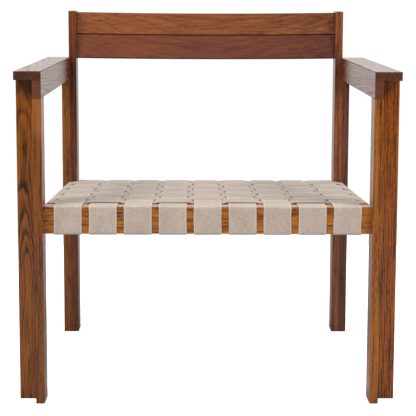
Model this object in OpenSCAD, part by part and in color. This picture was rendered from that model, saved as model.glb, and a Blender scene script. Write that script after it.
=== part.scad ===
// Low wooden armchair with an open frame of flat boards and a woven webbing seat.
// Millimetres. The chair faces -Y, +X is to the right as seen from the front, and +Z is up.
// The origin is on the floor, under the middle of the chair.

/* [Overall] */
// Width over the two arms
overall_w = 690; // [640:1:760]
// Height of the arms' top face
arm_h = 606; // [560:1:650]
// Height of the back posts
post_h = 706; // [706:1:760]
// Depth from the front of the front legs to the front of the back posts
post_front = 543; // [500:1:580]

/* [Timber] */
// Thickness of every board
board_t = 16; // [14:1:18]
// Width of the wide boards
board_w = 49; // [46:1:55]
// Rounding along the boards' long edges
edge_r = 1.5; // [0.5:0.1:2.5]

/* [Seat frame] */
// Height of the front rail's top
front_rail_h = 362; // [340:1:380]
// Height of the rear rail's top
rear_rail_h = 333.5; // [315:0.5:338]
// Depth of the front and rear rails, front to back
rail_d = 33; // [28:1:36]
// Distance of the front rail behind the fronts of the legs
rail_setback = 10; // [6:1:14]
// Height of the side rails' tops where they meet the front rail
side_rail_front_h = 360; // [340:0.5:380]
// Height of the side rails' tops where they meet the back posts
side_rail_rear_h = 335; // [318:0.5:350]

/* [Back] */
// Height of the lower slat's bottom edge
slat_bottom_h = 606; // [580:1:606]
// Distance of the lower slat's bottom edge behind the posts' front
slat_inset = 8; // [4:1:10]
// Lean of the back slats, in degrees
slat_tilt = 9; // [4:1:12]
// Width of the lower slat
lower_slat_w = 51; // [45:0.5:51]
// Width of the upper slat
upper_slat_w = 47.5; // [44:0.5:47.5]
// Groove between the two slats
slat_gap = 0.5; // [0.3:0.1:2]
// How far the middle of the slats is set back from a straight line between their ends
slat_bow = 18; // [8:1:24]

/* [Webbing] */
// Width of the webbing
web_w = 50; // [40:1:52]
// Thickness of the webbing
web_t = 1.6; // [1.2:0.1:2]
// Number of straps from front to back
warp_count = 9; // [7:2:9]
// Spacing of the straps that run from front to back
warp_pitch = 63; // [60:0.5:65]
// Number of straps from side to side
weft_count = 8; // [6:1:8]
// Spacing of the straps that run from side to side
weft_pitch = 56.5; // [54:0.5:58]
// Length of webbing turned under a rail
web_tuck = 24; // [18:1:28]

/* [Joinery] */
// Diameter of the dowels
dowel_d = 8; // [6:1:8]
// Depth of a dowel in a board's end or in a rail
deep_socket = 20; // [16:1:22]
// Depth of a dowel in a board's flat side
shallow_socket = 11; // [9:1:12]

/* [Hidden] */
$fn = 48;
WOOD = "#7d4a29";
DARK_WOOD = "#6b3d22";
LINEN = "#b9a797";
BEECH = "#c9a878";
STEEL = "#9a9a9c";

strip_w = board_w - board_t;                  // narrow strips, and depth of the leg's rebate
side_out = overall_w / 2;                     // outer face of legs and arms
side_in = side_out - board_w;                 // inner face of legs and arms
web_face = side_in + board_t;                 // joint between the upright board and the strip
post_in = side_in - board_t;                  // inner face of the back posts
arm_board_h = arm_h - board_t;                // underside of the arm's top board
arm_low_h = arm_h - board_w;                  // underside of the arm's side board
rear_strip_end = post_front + strip_w;        // back of the arm and of the outer rear board
front_rail_back = rail_setback + rail_d;
rear_rail_back = post_front + rail_d;

slope = atan((side_rail_front_h - side_rail_rear_h) / (post_front - front_rail_back));
side_rail_len = (post_front - front_rail_back) / cos(slope);

slat_span = post_in;                          // half the length of a slat
slat_r = slat_span * slat_span / (2 * slat_bow) + slat_bow / 2;
slat_stack = lower_slat_w + slat_gap + upper_slat_w;
slat_steps = 32;                              // straight steps along the bend of a slat
slat_bend_steps = 3;                          // straight steps round a slat's rounded edge
slat_socket = 14;                             // depth of a dowel in a slat's end

// Rearmost point of the chair: the rounded top edge of the upper slat, in the middle.
chair_d = post_front + slat_inset + (slat_stack - edge_r) * sin(slat_tilt)
    + (slat_bow + board_t - edge_r) * cos(slat_tilt) + edge_r;

end_margin = 12;                              // distance of a dowel from a board's edge
socket_clear = 0.5;                           // free length at the bottom of a dowel socket
dowel_fit = 0.1;                              // gap around a dowel in its socket

staple_w = 10;
staple_wire = 1.2;
staple_flat = 0.7;
staple_leg = 10;
staples_per_end = 3;
staple_pitch = 15;

weave_lift = web_t / 2 + 0.1;                 // height of a crossing strap above the mid plane
weave_mid = web_t;                            // mid plane of the weave above the side rails
first_weft = (side_rail_len - (weft_count - 1) * weft_pitch) / 2;
first_warp = -(warp_count - 1) * warp_pitch / 2;
weave_ramp = 4;                               // half the length over which a strap changes height
bend_steps = 5;

SIDES = ["left", "right"];
SIDE_PARTS = ["front_leg_inner", "front_leg_outer", "rear_leg_outer", "back_post", "arm_top", "arm_side",
    "side_rail"];

// ---------- Boards ----------

// Corners that are rounded, in the order low-low, high-low, high-high, low-high.
ALL = [1, 1, 1, 1];
NONE = [0, 0, 0, 0];
LOW_END = [1, 1, 0, 0];
HIGH_END = [0, 0, 1, 1];

// What a rounded corner at the origin takes away from a rectangle.
module corner_waste(r) difference() {
    translate([-1, -1]) square(r + 1);
    translate([r, r]) circle(r = r);
}

// Rectangle from the origin, rounded at the chosen corners.
module eased_rect(a, b, corners = ALL) difference() {
    square([a, b]);
    if (corners[0] == 1) corner_waste(edge_r);
    if (corners[1] == 1) translate([a, 0]) rotate(90) corner_waste(edge_r);
    if (corners[2] == 1) translate([a, b]) rotate(180) corner_waste(edge_r);
    if (corners[3] == 1) translate([0, b]) rotate(270) corner_waste(edge_r);
}

// Board between two opposite corners. Each list says which of its corners are rounded
// in the plan (xy), in the front view (xz) and in the side view (yz).
module board(low, high, xy = ALL, xz = ALL, yz = ALL) {
    size = high - low;
    translate(low) intersection() {
        linear_extrude(size.z) eased_rect(size.x, size.y, xy);
        translate([0, size.y, 0]) rotate([90, 0, 0]) linear_extrude(size.y) eased_rect(size.x, size.z, xz);
        rotate([90, 0, 90]) linear_extrude(size.x) eased_rect(size.y, size.z, yz);
    }
}

// Places what was drawn from the front of the legs around the chair's own origin.
module from_front() translate([0, -chair_d / 2, 0]) children();

// Draws a part of the right side frame, or its mirror image for the left one.
module on_side(side) mirror([side == "left" ? 1 : 0, 0, 0]) children();
module on_both_sides() for (side = SIDES) on_side(side) children();

// ---------- Dowelled joints ----------
// A joint is a list of [point on the joint face, direction, depth behind it, depth ahead of it].

function upright_joint(x, ys, z) = [for (y = ys) [[x, y, z], [0, 0, 0], deep_socket, deep_socket]];
function side_joint(x, y, zs) = [for (z = zs) [[x, y, z], [0, 90, 0], deep_socket, shallow_socket]];
function end_joint(x, y, zs, behind, ahead) = [for (z = zs) [[x, y, z], [-90, 0, 0], behind, ahead]];

blade_top = upright_joint(side_in + board_t / 2, [end_margin, board_w - end_margin], arm_low_h);
rear_board_top = upright_joint(side_in + board_t / 2,
    [post_front + end_margin - 3, rear_strip_end - end_margin + 3], arm_low_h);
strip_top = [for (x = [web_face + 9, side_out - 9])
    [[x, strip_w + board_t / 2, arm_board_h], [0, 0, 0], deep_socket, shallow_socket]];
arm_to_post = [for (y = [post_front + 9, rear_strip_end - 9])
    [[side_in, y, arm_board_h - 7], [0, 90, 0], shallow_socket, shallow_socket]];
front_rail_end = side_joint(side_in, rail_setback + rail_d / 2,
    [front_rail_h - end_margin, front_rail_h - board_w + end_margin]);
rear_rail_end = side_joint(post_in, post_front + rail_d / 2 + 3,
    [rear_rail_h - end_margin, rear_rail_h - board_w + end_margin]);
side_rail_front = end_joint(post_in + board_t / 2, front_rail_back,
    [side_rail_front_h - end_margin, side_rail_front_h - board_w + end_margin],
    shallow_socket, deep_socket);
side_rail_rear = end_joint(post_in + board_t / 2, post_front,
    [side_rail_rear_h - end_margin, side_rail_rear_h - board_w + end_margin],
    deep_socket, shallow_socket);

// One round bar for each entry of a joint: the dowel, or its socket.
module joint_bars(joint, d, extra) {
    for (j = joint) translate(j[0]) rotate(j[1]) translate([0, 0, -j[2] - extra])
        cylinder(h = j[2] + j[3] + 2 * extra, d = d);
}
module dowels(joint) joint_bars(joint, dowel_d, -socket_clear);
module sockets(joint) joint_bars(joint, dowel_d + 2 * dowel_fit, 0);

// Round bars through the joints of the back slats, two at each end, for their dowels and sockets.
module slat_bars(d, extra) on_both_sides()
    for (up = [0, lower_slat_w + slat_gap]) for (z = [end_margin, upper_slat_w - end_margin])
        on_back(up) translate([slat_span - slat_socket - extra, board_t / 2 + 1, z]) rotate([0, 90, 0])
            cylinder(h = slat_socket + shallow_socket + 2 * extra, d = d);
module slat_sockets() slat_bars(dowel_d + 2 * dowel_fit, 0);

// ---------- Side frames ----------
// Each front leg is a wide board seen edge-on and a narrow one across its back, an L in plan.
// The arm is the same L lying along the side, and rests on the front leg and the rear leg.

module front_leg_inner(side) color(WOOD) from_front() on_side(side) difference() {
    board([side_in, 0, 0], [web_face, board_w, arm_low_h], xy = [1, 1, 0, 1], xz = LOW_END, yz = LOW_END);
    sockets(blade_top);
    sockets(front_rail_end);
}

module front_leg_outer(side) color(WOOD) from_front() on_side(side) difference() {
    board([web_face, strip_w, 0], [side_out, board_w, arm_board_h],
        xy = [0, 1, 1, 0], xz = [0, 1, 0, 0], yz = LOW_END);
    sockets(strip_top);
}

module rear_leg_outer(side) color(WOOD) from_front() on_side(side) difference() {
    board([side_in, post_front, 0], [web_face, rear_strip_end, arm_low_h],
        xy = [0, 1, 1, 0], xz = [0, 1, 0, 0], yz = LOW_END);
    sockets(rear_board_top);
}

module back_post(side) color(WOOD) from_front() on_side(side) difference() {
    board([post_in, post_front, 0], [side_in, post_front + board_w, post_h], xy = [1, 0, 1, 1]);
    sockets(arm_to_post);
    sockets(rear_rail_end);
    sockets(side_rail_rear);
    slat_sockets();
}

module arm_top(side) color(WOOD) from_front() on_side(side) difference() {
    board([side_in, 0, arm_board_h], [side_out, rear_strip_end, arm_h], xz = [0, 1, 1, 1], yz = HIGH_END);
    sockets(strip_top);
}

module arm_side(side) color(WOOD) from_front() on_side(side) difference() {
    board([side_in, 0, arm_low_h], [web_face, rear_strip_end, arm_board_h], xz = LOW_END, yz = NONE);
    sockets(blade_top);
    sockets(rear_board_top);
    sockets(arm_to_post);
}

// The side rail slopes down to the back, and its ends are cut upright.
module side_rail(side) color(WOOD) from_front() on_side(side) difference() {
    intersection() {
        on_seat() board([post_in, -board_w / 2, -board_w], [side_in, side_rail_len + board_w / 2, 0]);
        translate([post_in - 1, front_rail_back, 0])
            cube([board_t + 2, post_front - front_rail_back, front_rail_h + board_w]);
    }
    sockets(side_rail_front);
    sockets(side_rail_rear);
}

// ---------- Rails between the side frames ----------

module front_rail() color(WOOD) from_front() difference() {
    board([-side_in, rail_setback, front_rail_h - board_w], [side_in, front_rail_back, front_rail_h],
        xy = NONE, xz = NONE);
    on_both_sides() {
        sockets(front_rail_end);
        sockets(side_rail_front);
    }
}

module rear_rail() color(WOOD) from_front() difference() {
    board([-post_in, post_front, rear_rail_h - board_w], [post_in, rear_rail_back, rear_rail_h],
        xy = NONE, xz = NONE);
    on_both_sides() sockets(rear_rail_end);
}

// ---------- Back slats ----------

// Frame of the leaning back: x along the slats, y towards the back, z up along the slats' faces.
module on_back(up = 0) translate([0, post_front + slat_inset, slat_bottom_h])
    rotate([-slat_tilt, 0, 0]) translate([0, 0, up]) children();

// Corner of a slat's cross section, rounded about its centre, starting at the given angle.
function slat_corner(y, z, start) = [for (k = [0 : slat_bend_steps])
    let (angle = start + 90 * k / slat_bend_steps) [y + edge_r * cos(angle), z + edge_r * sin(angle)]];

// Cross section of a slat of the given width: thickness along the first axis, height along the second.
function slat_section(width) = concat(
    slat_corner(edge_r, edge_r, 180),
    slat_corner(board_t - edge_r, edge_r, 270),
    slat_corner(board_t - edge_r, width - edge_r, 0),
    slat_corner(edge_r, width - edge_r, 90));

// How far the front of a slat is set back at a distance x from its middle.
function slat_set_back(x) = slat_bow - slat_r + sqrt(slat_r * slat_r - x * x);

// Slat bent to a large radius, its middle set back, swept between the two posts.
module bent_slat(width, up) from_front() difference() {
    section = slat_section(width);
    n = len(section);
    points = [for (k = [0 : slat_steps]) let (x = slat_span * (2 * k / slat_steps - 1))
        for (p = section) [x, slat_set_back(x) + p.x, p.y]];
    sides = [for (k = [0 : slat_steps - 1]) for (i = [0 : n - 1])
        [k * n + i, (k + 1) * n + i, (k + 1) * n + (i + 1) % n, k * n + (i + 1) % n]];
    left_end = [for (i = [0 : n - 1]) i];
    right_end = [for (i = [n - 1 : -1 : 0]) slat_steps * n + i];
    on_back(up) polyhedron(points, concat([left_end], sides, [right_end]));
    slat_sockets();
}

module lower_back_slat() color(DARK_WOOD) bent_slat(lower_slat_w, 0);
module upper_back_slat() color(WOOD) bent_slat(upper_slat_w, lower_slat_w + slat_gap);

// ---------- Webbing ----------

// Frame of the sloping seat: origin where the side rails' tops meet the front rail,
// y down the slope towards the back, z square to the seat.
module on_seat() translate([0, front_rail_back, side_rail_front_h]) rotate([-slope, 0, 0]) children();
function seat_point(along, above) = [
    front_rail_back + along * cos(slope) + above * sin(slope),
    side_rail_front_h - along * sin(slope) + above * cos(slope)];

// Quarter bend about a rounded corner, r from its centre, from angle a to angle b.
function bend(centre, r, a, b) = [for (k = [0 : bend_steps])
    let (angle = a + (b - a) * k / bend_steps) centre + r * [cos(angle), sin(angle)]];

function weft_at(j) = first_weft + (j - 1) * weft_pitch;
function warp_at(i) = first_warp + (i - 1) * warp_pitch;
function weft_over(i, j) = (i + j) % 2 == 1;

// One side of a strap over its crossings: flat over each one, straight between them.
function woven_edge(centres, ups, half, offset) = [for (k = [0 : len(centres) - 1]) for (end = [-1, 1])
    [centres[k] + end * half, weave_mid + (ups[k] ? 1 : -1) * weave_lift + offset]];

// Profile of a strap from front to back, in the plane of its length: over, then back below.
function warp_side(i, out) =
    let (
        r = edge_r + out,
        front_low = [rail_setback + edge_r, front_rail_h - board_w + edge_r],
        front_top = [rail_setback + edge_r, front_rail_h - edge_r],
        rear_top = [rear_rail_back - edge_r, rear_rail_h - edge_r],
        rear_low = [rear_rail_back - edge_r, rear_rail_h - board_w + edge_r],
        centres = [for (j = [1 : weft_count]) weft_at(j)],
        ups = [for (j = [1 : weft_count]) !weft_over(i, j)],
        woven = [for (p = woven_edge(centres, ups, weft_pitch / 2 - weave_ramp, out - web_t / 2))
            seat_point(p.x, p.y)]
    )
    concat(
        [[rail_setback + web_tuck, front_low.y - r]],
        bend(front_low, r, 270, 180),
        bend(front_top, r, 180, 90),
        [[front_rail_back - edge_r, front_rail_h + out]],
        woven,
        [[post_front + edge_r, rear_rail_h + out]],
        bend(rear_top, r, 90, 0),
        bend(rear_low, r, 0, -90),
        [[rear_rail_back - web_tuck, rear_low.y - r]]
    );

module front_to_back_strap(i) color(LINEN) from_front() {
    below = warp_side(i, 0);
    over = warp_side(i, web_t);
    translate([warp_at(i) - web_w / 2, 0, 0]) rotate([90, 0, 90]) linear_extrude(web_w)
        polygon(concat(over, [for (k = [len(below) - 1 : -1 : 0]) below[k]]));
}

// Profile of a strap from side to side, across the chair, in the sloping seat's frame.
function weft_side(j, out) =
    let (
        r = edge_r + out,
        corner_x = side_in - edge_r,
        low_z = -board_w + edge_r,
        centres = [for (i = [1 : warp_count]) warp_at(i)],
        ups = [for (i = [1 : warp_count]) weft_over(i, j)]
    )
    concat(
        [[-side_in + web_tuck, low_z - r]],
        bend([-corner_x, low_z], r, 270, 180),
        bend([-corner_x, -edge_r], r, 180, 90),
        [[-post_in - edge_r, out]],
        woven_edge(centres, ups, web_w / 2, out - web_t / 2),
        [[post_in + edge_r, out]],
        bend([corner_x, -edge_r], r, 90, 0),
        bend([corner_x, low_z], r, 0, -90),
        [[side_in - web_tuck, low_z - r]]
    );

module side_to_side_strap(j) color(LINEN) from_front() {
    below = weft_side(j, 0);
    over = weft_side(j, web_t);
    on_seat() translate([0, weft_at(j) + web_w / 2, 0]) rotate([90, 0, 0]) linear_extrude(web_w)
        polygon(concat(over, [for (k = [len(below) - 1 : -1 : 0]) below[k]]));
}

// Staple driven up through the webbing under a rail, its crown along x.
module staple() {
    translate([-staple_w / 2, -staple_wire / 2, -staple_flat]) cube([staple_w, staple_wire, staple_flat]);
    for (x = [-staple_w / 2, staple_w / 2 - staple_wire])
        translate([x, -staple_wire / 2, -staple_flat]) cube([staple_wire, staple_wire, staple_leg]);
}

// Row of staples across one end of a strap.
module staple_row() for (k = [0 : staples_per_end - 1])
    translate([(k - (staples_per_end - 1) / 2) * staple_pitch, 0, 0]) staple();

module webbing_staples() color(STEEL) from_front() {
    for (i = [1 : warp_count]) {
        translate([warp_at(i), rail_setback + web_tuck - 7, front_rail_h - board_w - web_t]) staple_row();
        translate([warp_at(i), rear_rail_back - web_tuck + 7, rear_rail_h - board_w - web_t]) staple_row();
    }
    on_seat() for (j = [1 : weft_count]) on_both_sides()
        translate([post_in + board_t / 2, weft_at(j), -board_w - web_t]) rotate([0, 0, 90]) staple_row();
}

// ---------- Dowels ----------

module joint_dowels(joint) color(BEECH) from_front() on_both_sides() dowels(joint);

module side_rail_dowels() {
    joint_dowels(side_rail_front);
    joint_dowels(side_rail_rear);
}

module leg_to_arm_dowels() {
    joint_dowels(blade_top);
    joint_dowels(strip_top);
    joint_dowels(rear_board_top);
}

module back_slat_dowels() color(BEECH) from_front() slat_bars(dowel_d, -socket_clear);

// ---------- The chair ----------

for (side = SIDES) {
    front_leg_inner(side);
    front_leg_outer(side);
    rear_leg_outer(side);
    back_post(side);
    arm_top(side);
    arm_side(side);
    side_rail(side);
}
front_rail();
rear_rail();
lower_back_slat();
upper_back_slat();
for (i = [1 : warp_count])
    front_to_back_strap(i);
for (j = [1 : weft_count])
    side_to_side_strap(j);
joint_dowels(front_rail_end);  // front_rail_dowels
side_rail_dowels();
joint_dowels(rear_rail_end);  // rear_rail_dowels
leg_to_arm_dowels();
joint_dowels(arm_to_post);  // arm_to_post_dowels
back_slat_dowels();
webbing_staples();
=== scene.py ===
"""Wooden armchair: stained ash boards, a woven webbing seat, soft studio light and the camera.

Metres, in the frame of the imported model: the chair faces -Y, +X is to its right as seen from the front.
"""
import math
import random

import bpy
from mathutils import Matrix, Vector


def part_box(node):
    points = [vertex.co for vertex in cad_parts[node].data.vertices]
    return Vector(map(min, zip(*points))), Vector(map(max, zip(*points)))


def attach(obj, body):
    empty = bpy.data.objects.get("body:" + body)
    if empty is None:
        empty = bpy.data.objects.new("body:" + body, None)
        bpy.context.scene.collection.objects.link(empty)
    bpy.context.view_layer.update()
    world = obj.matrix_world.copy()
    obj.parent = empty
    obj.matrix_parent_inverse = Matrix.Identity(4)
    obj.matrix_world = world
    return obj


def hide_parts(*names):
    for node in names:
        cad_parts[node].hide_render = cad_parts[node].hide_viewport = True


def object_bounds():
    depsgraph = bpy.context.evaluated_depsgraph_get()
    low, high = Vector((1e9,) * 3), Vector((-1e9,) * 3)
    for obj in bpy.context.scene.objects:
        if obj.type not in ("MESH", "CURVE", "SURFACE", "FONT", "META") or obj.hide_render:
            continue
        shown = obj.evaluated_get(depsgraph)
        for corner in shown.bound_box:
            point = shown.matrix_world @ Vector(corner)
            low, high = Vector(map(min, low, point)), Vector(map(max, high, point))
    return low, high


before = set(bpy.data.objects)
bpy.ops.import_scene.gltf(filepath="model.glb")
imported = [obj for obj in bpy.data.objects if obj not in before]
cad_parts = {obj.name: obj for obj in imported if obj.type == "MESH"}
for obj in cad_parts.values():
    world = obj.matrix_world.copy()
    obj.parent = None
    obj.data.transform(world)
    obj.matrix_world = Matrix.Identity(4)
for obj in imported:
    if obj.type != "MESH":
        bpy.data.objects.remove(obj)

CAD_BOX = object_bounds()
MM = 0.001


# ---------- Places and sizes, from the frame ----------

FRONT_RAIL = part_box("front_rail")
REAR_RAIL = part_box("rear_rail")
SIDE_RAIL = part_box("right_side_rail")
EDGE_R = 1.5 * MM                       # rounding of the rails' edges

WARP_BOXES = [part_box(f"front_to_back_strap_{i}") for i in range(1, 10)]
WEFT_BOXES = [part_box(f"side_to_side_strap_{j}") for j in range(1, 9)]
WARP_X = [(low.x + high.x) / 2 for low, high in WARP_BOXES]
WEB_W = WARP_BOXES[0][1].x - WARP_BOXES[0][0].x
WEB_T = FRONT_RAIL[0].y - WARP_BOXES[0][0].y

SEAT_FRONT = SIDE_RAIL[0].y             # where the sloping side rails start and end
SEAT_BACK = SIDE_RAIL[1].y
SEAT_TOP = SIDE_RAIL[1].z
SEAT_DROP = 25 * MM                     # fall of the side rails from front to back
SLOPE = math.atan2(SEAT_DROP, SEAT_BACK - SEAT_FRONT)
SEAT_LEN = (SEAT_BACK - SEAT_FRONT) / math.cos(SLOPE)
RAIL_DEPTH = FRONT_RAIL[1].z - FRONT_RAIL[0].z

WEFT_PITCH = (WEFT_BOXES[-1][0].y - WEFT_BOXES[0][0].y) / math.cos(SLOPE) / (len(WEFT_BOXES) - 1)
FIRST_WEFT = (SEAT_LEN - WEFT_PITCH * (len(WEFT_BOXES) - 1)) / 2
WEFT_S = [FIRST_WEFT + j * WEFT_PITCH for j in range(len(WEFT_BOXES))]

TUCK = 24 * MM                          # webbing turned under a rail
WEAVE_MID = WEB_T                       # mid plane of the weave above the side rails
WEAVE_UP = WEB_T / 2 + 0.3 * MM         # height above that plane of a strap that passes over
WEAVE_DOWN = WEB_T / 2 + 0.25 * MM      # depth below it of one that passes under


# ---------- Node helpers ----------

def srgb(red, green, blue):
    """Scene colour of an 8-bit display colour."""
    def linear(value):
        value /= 255
        return value / 12.92 if value <= 0.04045 else ((value + 0.055) / 1.055) ** 2.4
    return (linear(red), linear(green), linear(blue), 1.0)


class Nodes:
    """Adds nodes to a tree. An input is a value, or the output socket that feeds it."""

    def __init__(self, tree):
        self.tree = tree

    def add(self, kind, inputs=(), **settings):
        node = self.tree.nodes.new(kind)
        for name, value in settings.items():
            setattr(node, name, value)
        for key, value in dict(inputs).items():
            self.feed(node.inputs[key], value)
        return node

    def feed(self, socket, value):
        if isinstance(value, bpy.types.NodeSocket):
            self.tree.links.new(value, socket)
        else:
            socket.default_value = value

    def math(self, operation, a, b=0.0, c=0.0, clamp=False):
        inputs = {0: a, 1: b, 2: c}
        return self.add("ShaderNodeMath", inputs, operation=operation, use_clamp=clamp).outputs[0]

    def vector(self, operation, a, b=(0, 0, 0)):
        return self.add("ShaderNodeVectorMath", {0: a, 1: b}, operation=operation).outputs[0]

    def split(self, vector):
        return self.add("ShaderNodeSeparateXYZ", {0: vector}).outputs

    def join(self, x, y, z):
        return self.add("ShaderNodeCombineXYZ", {0: x, 1: y, 2: z}).outputs[0]

    def noise(self, vector, scale=1.0, detail=2.0, roughness=0.5):
        inputs = {"Vector": vector, "Scale": scale, "Detail": detail, "Roughness": roughness}
        return self.add("ShaderNodeTexNoise", inputs).outputs["Fac"]

    def ramp(self, factor, *stops, smooth=False):
        """Piecewise curve through the given (position, value) stops."""
        node = self.add("ShaderNodeValToRGB", {0: factor})
        node.color_ramp.interpolation = "EASE" if smooth else "LINEAR"
        points = node.color_ramp.elements
        while len(points) < len(stops):
            points.new(1.0)
        for point, (position, value) in zip(points, stops):
            point.position = position
            point.color = value if isinstance(value, tuple) else (value, value, value, 1)
        return node.outputs[0]

    def mix(self, factor, a, b, blend="MIX"):
        node = self.add("ShaderNodeMix", data_type="RGBA", blend_type=blend)
        self.feed(node.inputs[0], factor)
        self.feed(node.inputs[6], a)
        self.feed(node.inputs[7], b)
        return node.outputs[2]

    def bump(self, height, strength, distance):
        inputs = {"Height": height, "Strength": strength, "Distance": distance}
        return self.add("ShaderNodeBump", inputs).outputs[0]


def new_material(name):
    material = bpy.data.materials.new(name)
    material.use_nodes = True
    material.node_tree.nodes.clear()
    return material, Nodes(material.node_tree)


def close_material(nodes, shader_inputs):
    shader = nodes.add("ShaderNodeBsdfPrincipled", shader_inputs)
    nodes.add("ShaderNodeOutputMaterial", {"Surface": shader.outputs[0]})


# ---------- Wood ----------

SHADOW_TONE = srgb(26, 10, 4)           # painted shade: the arms' shadow on posts and legs, and the corners at board ends
PORE_TONE = srgb(50, 26, 12)
WORN_TONE = srgb(190, 124, 66)          # thin lacquer along the edges
RIM_TONE = srgb(34, 16, 10)             # outline of the end grain
NARROW_FACE_SHADE_TONE = srgb(42, 20, 8)             # painted shade on the slats' narrow faces, in the groove between them and under the lower slat


def ash_board(name, node, axis, light, dark, pith=(0.03, 0.05), lean=(0.01, 0.0), ring=4.0, figure=0.6,
              wander=1.0, fleck=1.0, relief=1.0, gloss=1.47, fade=0.0, shade_and_tone_band=None, end_shade=0.0, narrow_face_shade=(0, 0),
              end_tone=srgb(66, 34, 24), seed=0):
    """Stained and lacquered ash, cut from growth rings round a pith line.

    axis is the way the grain runs, pith where the pith line lies beside the board's middle, lean how it
    slants along the board, and ring the rings' spacing in millimetres. figure scales the rings' contrast,
    wander their waviness, fleck the flecks and relief the surface's unevenness. gloss is the lacquer's
    refractive index. fade is how much darker the stain is towards the board's far end, seam how much painted
    shade darkens both ends, where the board meets a post or a leg, and pool a stretch along the board, as (from,
    to, strength, tone), where the colour differs: painted shadow of the arms where the tone is dark, a lighter
    stretch where it is light. dull says how much painted shade, with less gloss, darkens the faces that look
    down and up, and end_tone is the stain's colour on the end grain.
    """
    material, n = new_material(name)
    low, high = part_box(node)
    middle, half = (low + high) / 2, (high - low) / 2
    place = n.add("ShaderNodeTexCoord")
    local = n.vector("SUBTRACT", place.outputs["Object"], middle)
    xyz = n.split(local)
    order = {"x": (2, 1, 0), "y": (0, 2, 1), "z": (0, 1, 2)}[axis]
    across, deep, along = (xyz[k] for k in order)
    shifted = n.vector("ADD", n.join(across, deep, along), (seed * 0.37, seed * 0.61, seed * 1.3))

    def varied(scale, detail=2.0, roughness=0.55):
        """Noise, roughly from -1 to 1. scale is in waves per metre, across the grain and along it."""
        waves = n.vector("MULTIPLY", shifted, (scale[0], scale[0] * 1.03, scale[1]))
        noise = n.noise(waves, 1.0, detail, roughness)
        return n.math("MULTIPLY", n.math("SUBTRACT", noise, 0.5), 3.2)

    def total(*parts):
        """Weighted sum of (weight, value) pairs."""
        result = 0.0
        for weight, value in parts:
            result = n.math("MULTIPLY_ADD", value, weight, result)
        return result

    # Growth rings, slanting and wandering along the board.
    slow, quick = varied((14, 5), 1.0), varied((40, 13), 2.0)
    ring_a = total((1, across), (lean[0], along), (0.004 * wander, slow))
    ring_b = total((1, deep), (lean[1], along), (0.003 * wander, varied((11, 6), 1.0)),
                   (0.0011 * wander, quick))
    ring_a, ring_b = n.math("ADD", ring_a, pith[0]), n.math("ADD", ring_b, pith[1])
    square_a, square_b = n.math("MULTIPLY", ring_a, ring_a), n.math("MULTIPLY", ring_b, ring_b)
    radius = n.math("SQRT", n.math("ADD", square_a, square_b))
    turns = n.math("DIVIDE", radius, ring * MM)
    early = n.ramp(n.math("FRACT", turns), (0.0, 0.6), (0.14, 1.0), (0.42, 0.45), (0.75, 0.05), (0.93, 0.0),
                   (1.0, 0.6))
    each_ring = n.noise(n.join(n.math("FLOOR", turns), seed * 2.1, 0.0), 0.83, 0.0)
    early = n.math("MULTIPLY", early, n.ramp(each_ring, (0.3, 0.5), (0.7, 1.0)))

    # Fibres and flecks, pores that hold the stain, and patches where it took unevenly.
    fibre = varied((520, 22), 3.0)
    streak = varied((300, 8), 3.5, 0.65)
    flecks = varied((420, 100), 2.0)
    patch = varied((22, 8), 2.5)
    pore = n.ramp(varied((700, 80), 1.0), (0.42, 0.0), (0.7, 1.0))
    pore = n.math("MULTIPLY", pore, n.math("MULTIPLY_ADD", early, 0.7, 0.3))

    depth = total((0.95 * figure, early), (0.95 * fleck, streak), (0.2, patch), (0.4 * fleck, flecks),
                  (0.36, fibre), (fade / half["xyz".index(axis)], along))
    depth = n.math("ADD", depth, 0.42 - 0.35 * figure, clamp=True)
    colour = n.mix(depth, light, dark)
    colour = n.mix(n.math("MULTIPLY", pore, 0.6), colour, PORE_TONE)
    # A stretch of other colour along the board: painted shadow of the arms on the posts and legs, and on one
    # board a lighter tone.
    if shade_and_tone_band:
        start, stop, strength, tone = shade_and_tone_band
        # A ramp starts at zero, so the place along the board is moved up by 0.2 m, and the stops with it.
        place_along = n.math("ADD", along, middle["xyz".index(axis)] + 0.2)
        in_band = n.ramp(place_along, (start + 0.18, 0.0), (start + 0.22, 1.0), (stop + 0.195, 1.0),
                          (stop + 0.205, 0.0), smooth=True)
        colour = n.mix(n.math("MULTIPLY", in_band, strength), colour, tone)
    # Painted shade at both ends, in the corners where the board meets a post or a leg.
    if end_shade:
        to_end = n.math("SUBTRACT", half["xyz".index(axis)], n.math("ABSOLUTE", along))
        close = n.ramp(n.math("DIVIDE", to_end, 10 * MM), (0.0, 1.0), (0.4, 0.0))
        colour = n.mix(n.math("MULTIPLY", close, end_shade), colour, SHADOW_TONE)

    # End grain drinks more stain.
    facing = n.split(n.vector("ABSOLUTE", place.outputs["Normal"]))
    end = n.ramp(facing["xyz".index(axis)], (0.75, 0.0), (0.95, 1.0))
    drunk = n.math("MULTIPLY", end, n.math("MULTIPLY_ADD", flecks, 0.3, 0.7, clamp=True))
    colour = n.mix(drunk, colour, end_tone)

    # Lacquer worn a little lighter along the edges: the middle one of the three distances to the faces.
    gaps = n.split(n.vector("SUBTRACT", tuple(half), n.vector("ABSOLUTE", local)))
    lesser, greater = n.math("MINIMUM", gaps[0], gaps[1]), n.math("MAXIMUM", gaps[0], gaps[1])
    to_edge = n.math("MAXIMUM", lesser, n.math("MINIMUM", greater, gaps[2]))
    worn = n.ramp(n.math("DIVIDE", to_edge, 10 * MM), (0.0, 1.0), (0.2, 0.0))
    worn = n.math("MULTIPLY", worn, n.ramp(patch, (0.0, 0.15), (0.6, 1.0)))
    colour = n.mix(n.math("MULTIPLY", worn, 0.25), colour, WORN_TONE)
    rim = n.math("MULTIPLY", end, n.ramp(n.math("DIVIDE", to_edge, 10 * MM), (0.0, 0.7), (0.12, 0.0)))
    colour = n.mix(rim, colour, RIM_TONE)

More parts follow.
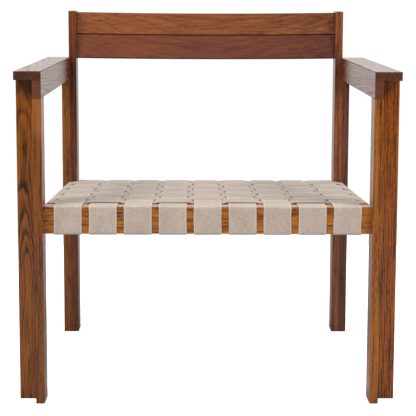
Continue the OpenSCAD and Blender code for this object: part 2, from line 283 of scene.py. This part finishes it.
    rough = total((0.10 * relief, early), (0.05 * relief, fibre), (0.10, end))
    rough = n.math("ADD", rough, 0.22, clamp=True)
    polish = {}
    # Painted shade, with less gloss, on the faces that look down and up: in the groove between the slats and
    # under the lower slat.
    if any(narrow_face_shade):
        up = n.split(place.outputs["Normal"])[2]
        raw = total((narrow_face_shade[0], n.ramp(n.math("SUBTRACT", 0.2, up), (0.1, 0.0), (0.4, 1.0))),
                    (narrow_face_shade[1], n.ramp(up, (0.25, 0.0), (0.7, 1.0))))
        colour = n.mix(n.math("MULTIPLY", raw, 0.85), colour, NARROW_FACE_SHADE_TONE)
        polish["Specular IOR Level"] = n.math("MULTIPLY_ADD", raw, -0.45, 0.5)
        polish["Coat Weight"] = n.math("MULTIPLY_ADD", raw, -0.1, 0.1)
    height = total((0.35, fibre), (0.5, streak), (-1.0, pore), (-0.4 * figure, early))
    close_material(n, {
        "Base Color": colour, "Roughness": rough, "IOR": gloss, "Coat Weight": 0.1, "Coat Roughness": 0.15,
        "Normal": n.bump(height, 0.25 * relief, 0.2 * MM), **polish})
    return material


# ---------- Webbing ----------

def linen_webbing():
    """Plain weave of thick and thin linen yarns, with a tighter selvedge along each edge."""
    material, n = new_material("linen_webbing")
    uv = n.add("ShaderNodeUVMap", uv_map="weave").outputs[0]
    across, along, _ = n.split(uv)
    yarn, pick = 1.25 * MM, 1.05 * MM
    ends = n.math("SINE", n.math("MULTIPLY", across, math.pi / yarn))
    picks = n.math("SINE", n.math("MULTIPLY", along, math.pi / pick))
    weave = n.math("MULTIPLY", ends, picks)
    slub_ends = n.noise(n.vector("MULTIPLY", uv, (700, 60, 1)), 1.0, 2.0, 0.6)
    elsewhere = n.vector("ADD", uv, (3.1, 1.7, 0))
    slub_picks = n.noise(n.vector("MULTIPLY", elsewhere, (90, 640, 1)), 1.0, 2.0, 0.6)
    mottle = n.noise(n.vector("MULTIPLY", uv, (420, 420, 1)), 1.0, 2.0, 0.6)
    broad = n.noise(n.vector("MULTIPLY", uv, (34, 20, 1)), 1.0, 2.0, 0.5)
    tone = n.math("ADD", n.math("MULTIPLY", slub_ends, 0.42), n.math("MULTIPLY", slub_picks, 0.42))
    tone = n.math("ADD", tone, n.math("MULTIPLY", mottle, 0.5))
    tone = n.math("ADD", tone, n.math("MULTIPLY", broad, 0.25))
    tone = n.math("ADD", tone, n.math("MULTIPLY", weave, 0.07))
    colour = n.ramp(tone, (0.5, srgb(154, 134, 116)), (0.8, srgb(200, 183, 168)), (1.0, srgb(216, 202, 190)))
    out = n.math("DIVIDE", n.math("ABSOLUTE", across), WEB_W / 2)
    selvedge = n.ramp(out, (0.905, 0.0), (0.93, 1.0))
    colour = n.mix(n.math("MULTIPLY", selvedge, 0.5), colour, srgb(232, 222, 212))
    # Darker where the shade attribute says: overall on some straps, with painted shade along their front edges
    # and where they dive under others.
    shade = n.add("ShaderNodeAttribute", attribute_name="shade", attribute_type="GEOMETRY").outputs["Fac"]
    colour = n.mix(n.math("MULTIPLY", shade, 1.0, clamp=True), colour, srgb(104, 82, 62))
    rib = n.math("ABSOLUTE", n.math("SINE", n.math("MULTIPLY", along, math.pi / (1.6 * MM))))
    slubs = n.math("ADD", slub_ends, slub_picks)
    height = n.math("ADD", n.math("MULTIPLY", weave, 0.5), n.math("MULTIPLY", slubs, 0.8))
    height = n.math("ADD", height, n.math("MULTIPLY", n.math("MULTIPLY", selvedge, rib), 0.7))
    rough = n.math("ADD", n.math("MULTIPLY", mottle, 0.15), 0.76)
    close_material(n, {
        "Base Color": colour, "Roughness": rough, "Sheen Weight": 0.18, "Sheen Roughness": 0.5,
        "Normal": n.bump(height, 0.5, 0.35 * MM)})
    return material


LINEN = linen_webbing()


def bend(centre, radius, start, end, steps=6):
    """Points round a rounded corner, angles in degrees."""
    angles = [math.radians(start + (end - start) * k / steps) for k in range(steps + 1)]
    return [(centre[0] + radius * math.cos(a), centre[1] + radius * math.sin(a)) for a in angles]


def flat_run(a, b, step=5 * MM):
    """Points between a and b, without either."""
    count = max(1, round(math.dist(a, b) / step))
    return [tuple(a[k] + (b[k] - a[k]) * i / count for k in (0, 1)) for i in range(1, count)]


def joined(runs):
    """One line of points through all the runs, with flat stretches between them and no point twice."""
    line = list(runs[0])
    for run in runs[1:]:
        line += flat_run(line[-1], run[0]) + run
    return [line[0]] + [b for a, b in zip(line, line[1:]) if math.dist(a, b) > 0.05 * MM]


def woven_run(start, end, centres, ups, flat, step=2.5 * MM):
    """(place, height) points along a strap from start to end, level at each crossing and smooth between."""
    flats = [(start[0], start[0], start[1])]
    for centre, up in zip(centres, ups):
        flats.append((centre - flat, centre + flat, WEAVE_MID + (WEAVE_UP if up else -WEAVE_DOWN)))
    flats += [(end[0], end[0], end[1])]
    points = []
    for (_, a, before), (b, c, after) in zip(flats, flats[1:]):
        ramp_steps = max(5, round((b - a) / step))
        for k in range(ramp_steps):
            t = k / ramp_steps
            points.append((a + (b - a) * t, before + (after - before) * t * t * (3 - 2 * t)))
        flat_steps = max(1, round((c - b) / step))
        points += [(b + (c - b) * k / flat_steps, after) for k in range(flat_steps if c > b else 0)]
    return points + [(end[0], end[1])]


def seat_to_world(x, along, above):
    """The point of the chair at a place along the seat's slope and a height above it."""
    return Vector((
        x, SEAT_FRONT + along * math.cos(SLOPE) + above * math.sin(SLOPE),
        SEAT_TOP - along * math.sin(SLOPE) + above * math.cos(SLOPE)))


def world_to_seat(y, z):
    """Place along the slope and height above it."""
    dy, dz = y - SEAT_FRONT, z - SEAT_TOP
    return dy * math.cos(SLOPE) - dz * math.sin(SLOPE), dy * math.sin(SLOPE) + dz * math.cos(SLOPE)


# Places across a strap, as shares of its half width, with the share of its thickness there.
SECTION = [(-1.0, 0.0), (-0.994, 0.8), (-0.97, 1.12), (-0.93, 1.08), (-0.90, 0.88), (-0.72, 0.98),
           (-0.48, 1.0), (-0.24, 1.0), (0.0, 1.0)]
SECTION += [(-v, t) for v, t in reversed(SECTION[:-1])]

CROWN_UP = 0.35 * MM                    # arch of a strap that passes over another
CROWN_DOWN = 0.3 * MM                   # sag of a strap that passes under another


def strap(name, line, to_world, centres, ups, reach, place, shade, seed):
    """Closed woven strap along a line in its own plane.

    to_world(point, w) puts a point of that plane, w across the strap, in the chair, and place(point) is where
    it is among the crossings' centres. shade is how dark the webbing is overall, with painted shade along one
    edge, the one nearer the front, and where the strap dives under another.
    """
    rng = random.Random(seed)
    waves = [(rng.uniform(5, 22), rng.uniform(0, 6.28), rng.uniform(0.08, 0.22) * MM) for _ in range(4)]
    lengths = [0.0]
    for a, b in zip(line, line[1:]):
        lengths.append(lengths[-1] + math.dist(a, b))
    vertices, across_uv, along_uv, shades = [], [], [], []
    half = WEB_W / 2
    for k, point in enumerate(line):
        before, after = line[max(k - 1, 0)], line[min(k + 1, len(line) - 1)]
        tangent = Vector((after[0] - before[0], after[1] - before[1])).normalized()
        normal = Vector((-tangent.y, tangent.x))
        crown = dive_shade = 0.0
        for centre, up in zip(centres, ups):
            u = (place(point) - centre) / reach
            if abs(u) < 1:
                crown = (CROWN_UP if up else -CROWN_DOWN) * (1 - u * u)
                # hollow is painted shade: full where the strap passes under another, rising towards the ends of
                # a crossing it passes over.
                dive_shade = min(1, max(0, (abs(u) - 0.6) / 0.35)) ** 2 if up else 1.0
        drift = sum(size * math.sin(turn * lengths[k] * 6.28 + phase) for turn, phase, size in waves)
        ripple = sum(size * math.sin(turn * lengths[k] * 4.1 + phase * 2) for turn, phase, size in waves) * 0.5
        for side in (1, -1):
            for v, thick in SECTION if side > 0 else reversed(SECTION[1:-1]):
                lift = crown * (1 - 0.25 * v * v) + ripple * v * 0.5 + side * thick * WEB_T / 2
                w = v * half + drift
                vertices.append(to_world((point[0] + normal.x * lift, point[1] + normal.y * lift), w))
                across_uv.append(v * half)
                along_uv.append(lengths[k])
                # Darker overall, with painted shade along the front edge and where the strap dives under
                # another.
                shades.append(shade[0] + shade[1] * max(0, v) ** 5 + shade[2] * dive_shade)
    ring = len(SECTION) * 2 - 2
    faces = []
    for k in range(len(line) - 1):
        for m in range(ring):
            a, b = k * ring + m, k * ring + (m + 1) % ring
            faces.append((a, b, b + ring, a + ring))
    last = (len(line) - 1) * ring
    faces.append(tuple(range(ring - 1, -1, -1)))
    faces.append(tuple(range(last, last + ring)))
    mesh = bpy.data.meshes.new(name)
    mesh.from_pydata(vertices, [], faces)
    layer = mesh.uv_layers.new(name="weave")
    offset = seed * 0.83
    for loop in mesh.loops:
        v = loop.vertex_index
        layer.data[loop.index].uv = (across_uv[v], along_uv[v] + offset)
    mesh.attributes.new("shade", "FLOAT", "POINT").data.foreach_set("value", shades)
    for polygon in mesh.polygons:
        polygon.use_smooth = True
    mesh.materials.append(LINEN)
    piece = bpy.data.objects.new(name, mesh)
    bpy.context.scene.collection.objects.link(piece)
    node = name.replace("_webbing", "")
    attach(piece, "root")
    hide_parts(node)


def warp_passes_over(i, j):
    """Whether front-to-back strap i passes over side-to-side strap j, both counted from 1."""
    return (i + j) % 2 == 0


def front_to_back_strap(i):
    """Strap rolled over the front rail, woven back across the seat and rolled over the rear rail."""
    r = EDGE_R + WEB_T / 2
    front, back = FRONT_RAIL[0].y + EDGE_R, REAR_RAIL[1].y - EDGE_R
    front_low, front_top = FRONT_RAIL[0].z + EDGE_R, FRONT_RAIL[1].z - EDGE_R
    rear_low, rear_top = REAR_RAIL[0].z + EDGE_R, REAR_RAIL[1].z - EDGE_R
    onto_seat = (FRONT_RAIL[1].y - EDGE_R, FRONT_RAIL[1].z + WEB_T / 2)
    off_seat = (REAR_RAIL[0].y + EDGE_R, REAR_RAIL[1].z + WEB_T / 2)
    ups = [warp_passes_over(i, j) for j in range(1, len(WEFT_S) + 1)]
    start, end = world_to_seat(*onto_seat), world_to_seat(*off_seat)
    woven = woven_run(start, end, WEFT_S, ups, WEFT_PITCH / 2 - 4 * MM)
    corners = [
        [(FRONT_RAIL[0].y + TUCK, front_low - r)],
        bend((front, front_low), r, 270, 180),
        bend((front, front_top), r, 180, 90),
        [tuple(seat_to_world(0, s, h).yz) for s, h in woven],
        bend((back, rear_top), r, 90, 0),
        bend((back, rear_low), r, 0, -90),
        [(REAR_RAIL[1].y - TUCK, rear_low - r)]]
    line = joined(corners)
    x = WARP_X[i - 1]
    strap(f"front_to_back_strap_{i}_webbing", line, lambda p, w: Vector((x + w, p[0], p[1])), WEFT_S, ups,
          WEFT_PITCH / 2, lambda p: world_to_seat(*p)[0], (0.0, 0.0, 0.4), seed=i)


def side_to_side_strap(j):
    """Strap rolled over one side rail, woven across the seat and rolled over the other."""
    r = EDGE_R + WEB_T / 2
    out = SIDE_RAIL[1].x - EDGE_R
    low = -RAIL_DEPTH + EDGE_R
    ups = [not warp_passes_over(i, j) for i in range(1, len(WARP_X) + 1)]
    woven = woven_run((-out, WEB_T / 2), (out, WEB_T / 2), WARP_X, ups, WEB_W / 2)
    corners = [
        [(-SIDE_RAIL[1].x + TUCK, low - r)],
        bend((-out, low), r, 270, 180),
        bend((-out, -EDGE_R), r, 180, 90),
        woven,
        bend((out, -EDGE_R), r, 90, 0),
        bend((out, low), r, 0, -90),
        [(SIDE_RAIL[1].x - TUCK, low - r)]]
    line = joined(corners)
    s = WEFT_S[j - 1]
    pitch = WARP_X[1] - WARP_X[0]
    strap(f"side_to_side_strap_{j}_webbing", line, lambda p, w: seat_to_world(p[0], s - w, p[1]), WARP_X, ups,
          pitch / 2, lambda p: p[0], (0.13, 0.24, 0.0), seed=20 + j)


for number in range(1, len(WARP_X) + 1):
    front_to_back_strap(number)
for number in range(1, len(WEFT_S) + 1):
    side_to_side_strap(number)


# ---------- Finishes of the CAD pieces ----------

RICH_DARK = srgb(84, 44, 18)
PLUM_DARK = srgb(72, 36, 26)
ARM = dict(
    axis="y", light=srgb(146, 82, 50), dark=PLUM_DARK, ring=3, figure=0.3, wander=0.4, fleck=1.2)

# The bands along the posts and the left front leg's outer board are painted shadow of the arms, the one on its
# inner board a lighter tone; darker ends and darker narrow faces are painted shade.
BOARDS = {
    "left_front_leg_outer": dict(
        axis="z", light=srgb(176, 98, 20), dark=srgb(60, 28, 6), pith=(0.006, 0.024), lean=(0.02, 0.06),
        ring=4.8, figure=1.0, wander=2.6, fleck=0.6, fade=-0.08, shade_and_tone_band=(0.56, 0.6, 0.6, SHADOW_TONE), seed=1),
    "left_front_leg_inner": dict(
        axis="z", light=srgb(146, 78, 20), dark=srgb(62, 30, 10), pith=(0.2, 0.03), ring=3, figure=0.4,
        fleck=1.5, fade=-0.06, shade_and_tone_band=(0.49, 0.57, 0.4, srgb(196, 124, 62)), seed=2),
    "right_front_leg_outer": dict(
        axis="z", light=srgb(188, 99, 18), dark=srgb(66, 32, 8), pith=(0.06, 0.05), lean=(0.02, 0.02), ring=4,
        figure=0.9, fleck=1.3, fade=-0.12, seed=3),
    "right_front_leg_inner": dict(
        axis="z", light=srgb(178, 102, 26), dark=srgb(80, 38, 8), pith=(0.05, 0.02), lean=(0.03, 0.02), ring=3.4,
        figure=0.9, fleck=1.5, seed=4),
    "left_rear_leg_outer": dict(
        axis="z", light=srgb(154, 90, 34), dark=srgb(70, 36, 16), pith=(0.05, 0.02), lean=(0.02, 0.02), ring=5,
        figure=0.9, seed=5),
    "right_rear_leg_outer": dict(
        axis="z", light=srgb(122, 73, 52), dark=srgb(60, 31, 24), pith=(0.1, 0.05), ring=4, figure=0.5, seed=6),
    "left_back_post": dict(
        axis="z", light=srgb(134, 72, 38), dark=srgb(62, 30, 18), pith=(0.1, 0.06), ring=3, figure=0.5,
        shade_and_tone_band=(0.37, 0.608, 0.4, SHADOW_TONE), seed=7),
    "right_back_post": dict(
        axis="z", light=srgb(164, 94, 56), dark=srgb(74, 40, 27), pith=(0.1, 0.06), ring=3, figure=0.5,
        shade_and_tone_band=(0.53, 0.608, 0.45, SHADOW_TONE), seed=8),
    "left_arm_top": dict(ARM, pith=(0.02, 0.05), lean=(0.02, 0.02), end_tone=srgb(52, 26, 20), seed=9),
    "right_arm_top": dict(ARM, pith=(0.03, 0.05), lean=(0.02, 0.02), end_tone=srgb(70, 36, 28), seed=10),
    "left_arm_side": dict(ARM, pith=(0.04, 0.02), lean=(0.02, 0.01), end_tone=srgb(104, 58, 34), seed=11),
    "right_arm_side": dict(
        ARM, light=srgb(150, 78, 34), dark=srgb(76, 36, 18), gloss=1.4, pith=(0.04, 0.02),
        lean=(0.02, 0.03), end_tone=srgb(100, 58, 40), seed=12),
    "left_side_rail": dict(axis="y", light=srgb(140, 84, 40), dark=RICH_DARK, pith=(0.03, 0.1), seed=13),
    "right_side_rail": dict(axis="y", light=srgb(140, 84, 40), dark=RICH_DARK, pith=(0.03, 0.1), seed=14),
    "front_rail": dict(
        axis="x", light=srgb(194, 114, 28), dark=srgb(92, 46, 8), pith=(0.06, 0.05), lean=(0.02, 0.02), ring=3,
        figure=0.9, fleck=1.4, fade=-0.12, end_shade=0.2, seed=5),
    "rear_rail": dict(axis="x", light=srgb(150, 90, 40), dark=RICH_DARK, pith=(0.03, 0.12), seed=16),
    "lower_back_slat": dict(
        axis="x", light=srgb(138, 77, 50), dark=srgb(80, 43, 40), pith=(0.02, 0.2), lean=(0.01, 0.01), ring=4,
        figure=0.3, fleck=0.3, fade=0.28, end_shade=0.6, narrow_face_shade=(1, 1), seed=17),
    "upper_back_slat": dict(
        axis="x", light=srgb(162, 94, 50), dark=srgb(80, 43, 34), pith=(0.02, 0.2), lean=(0.01, 0.01), ring=4,
        figure=0.35, fleck=0.55, fade=0.14, end_shade=0.6, narrow_face_shade=(1, 0), seed=18),
}


def beech():
    """Plain beech of the dowels, with its short flecks."""
    material, n = new_material("dowel_beech")
    place = n.add("ShaderNodeTexCoord").outputs["Object"]
    fleck = n.noise(n.vector("MULTIPLY", place, (500, 500, 120)), 1.0, 3.0, 0.6)
    colour = n.ramp(fleck, (0.35, srgb(205, 172, 126)), (0.65, srgb(170, 132, 88)))
    rough = n.math("ADD", n.math("MULTIPLY", fleck, 0.2), 0.5)
    close_material(n, {"Base Color": colour, "Roughness": rough, "Normal": n.bump(fleck, 0.3, 0.1 * MM)})
    return material


def staple_steel():
    """Galvanised wire with faint drawing marks."""
    material, n = new_material("staple_steel")
    place = n.add("ShaderNodeTexCoord").outputs["Object"]
    marks = n.noise(n.vector("MULTIPLY", place, (150, 900, 900)), 1.0, 3.0, 0.6)
    colour = n.ramp(marks, (0.3, srgb(150, 151, 154)), (0.7, srgb(196, 197, 199)))
    rough = n.math("ADD", n.math("MULTIPLY", marks, 0.2), 0.28)
    close_material(n, {
        "Base Color": colour, "Roughness": rough, "Metallic": 1.0, "Normal": n.bump(marks, 0.2, 0.05 * MM)})
    return material


def give(node, material):
    """Puts one material on every slot of a CAD node."""
    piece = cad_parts[node]
    if not piece.material_slots:
        piece.data.materials.append(material)
    for each in piece.material_slots:
        each.material = material


for board, look in BOARDS.items():
    give(board, ash_board(board + "_ash", board, **look))
BEECH = beech()
for joint in ("front_rail", "side_rail", "rear_rail", "leg_to_arm", "arm_to_post", "back_slat"):
    give(joint + "_dowels", BEECH)
give("webbing_staples", staple_steel())


# ---------- Studio ----------

def floor():
    """Wide floor that the camera sees as near white even in the chair's shadow.

    It lights the chair as a mid grey floor would, and is clear from below.
    """
    side, front, back = 3.0, -3.5, 1.3
    mesh = bpy.data.meshes.new("floor")
    corners = [(-side, front, 0), (side, front, 0), (side, back, 0), (-side, back, 0)]
    mesh.from_pydata(corners, [], [(0, 1, 2, 3)])
    material, n = new_material("studio_floor")
    place = n.add("ShaderNodeTexCoord").outputs["Object"]
    cloud = n.noise(place, 1.5, 2.0)
    colour = n.ramp(cloud, (0.3, (0.90, 0.90, 0.90, 1)), (0.7, (0.93, 0.93, 0.93, 1)))
    seen = n.add("ShaderNodeLightPath").outputs["Is Camera Ray"]
    colour = n.mix(seen, (0.5, 0.5, 0.5, 1), colour)
    paper = n.add("ShaderNodeBsdfPrincipled", {
        "Base Color": colour, "Roughness": 0.9, "Specular IOR Level": 0.0,
        "Emission Color": (1, 1, 1, 1), "Emission Strength": n.math("MULTIPLY", seen, 0.78)})
    from_below = n.add("ShaderNodeNewGeometry").outputs["Backfacing"]
    clear = n.add("ShaderNodeBsdfTransparent")
    sheet = n.add("ShaderNodeMixShader", {0: from_below, 1: paper.outputs[0], 2: clear.outputs[0]})
    n.add("ShaderNodeOutputMaterial", {"Surface": sheet.outputs[0]})
    mesh.materials.append(material)
    plane = bpy.data.objects.new("floor", mesh)
    bpy.context.scene.collection.objects.link(plane)


def area_light(name, place, target, size, power):
    """Soft rectangular lamp at a place, turned to its target; power in watts."""
    data = bpy.data.lights.new(name, "AREA")
    data.shape = "RECTANGLE"
    data.size, data.size_y = size
    data.energy = power
    lamp = bpy.data.objects.new(name, data)
    lamp.location = place
    lamp.rotation_euler = (Vector(target) - Vector(place)).to_track_quat("-Z", "Y").to_euler()
    bpy.context.scene.collection.objects.link(lamp)


def white_world():
    """White to the camera. To the chair it is dim in front, brighter behind and dimmer towards the ground."""
    world = bpy.data.worlds.new("studio")
    world.use_nodes = True
    world.node_tree.nodes.clear()
    n = Nodes(world.node_tree)
    direction = n.split(n.add("ShaderNodeTexCoord").outputs["Generated"])
    behind = n.math("ADD", n.math("MULTIPLY", direction[1], 0.5), 0.5)
    fill = n.ramp(behind, (0.0, 0.17), (0.62, 0.2), (0.88, 0.8), smooth=True)
    fill = n.math("MULTIPLY", fill, 1.22)
    low = n.ramp(n.math("ADD", direction[2], 0.5), (0.1, 0.15), (0.36, 0.58), (0.53, 1.0), smooth=True)
    fill = n.math("MULTIPLY", fill, low)
    seen = n.add("ShaderNodeLightPath").outputs["Is Camera Ray"]
    colour = n.mix(seen, fill, (1.05, 1.05, 1.05, 1))
    shade = n.add("ShaderNodeBackground", {"Color": colour, "Strength": 1.0})
    n.add("ShaderNodeOutputWorld", {"Surface": shade.outputs[0]})
    bpy.context.scene.world = world


def camera():
    """A long lens in front of the chair, at about the height of the back."""
    distance, height, aside = 2.4135, 0.7375, -0.02345
    pitch, yaw, roll = math.radians(7.62), math.radians(0.561), math.radians(0.172)
    forward = Vector((math.sin(yaw) * math.cos(pitch), math.cos(yaw) * math.cos(pitch), -math.sin(pitch)))
    level = Vector((math.cos(yaw), -math.sin(yaw), 0))
    upright = level.cross(forward)
    right = level * math.cos(roll) + upright * math.sin(roll)
    up = upright * math.cos(roll) - level * math.sin(roll)
    data = bpy.data.cameras.new("camera")
    data.sensor_width = 36
    data.lens = 117.99
    data.shift_y = -0.07
    data.clip_start, data.clip_end = 0.05, 100
    eye = bpy.data.objects.new("camera", data)
    bpy.context.scene.collection.objects.link(eye)
    place = Vector((aside, CAD_BOX[0].y - distance, height))
    eye.matrix_world = Matrix.Translation(place) @ Matrix((right, up, -forward)).transposed().to_4x4()
    bpy.context.scene.camera = eye


floor()
white_world()
area_light("left_key", (-2.0, -1.9, 3.0), (0, 0.0, 0.4), (1.2, 1.2), 76)
area_light("right_key", (2.0, -1.9, 3.0), (0, 0.0, 0.4), (1.2, 1.2), 73)
area_light("top", (0.3, 0.0, 2.8), (0, 0, 0.4), (2.4, 2.4), 7)
camera()
bpy.context.scene.view_settings.view_transform = "Standard"
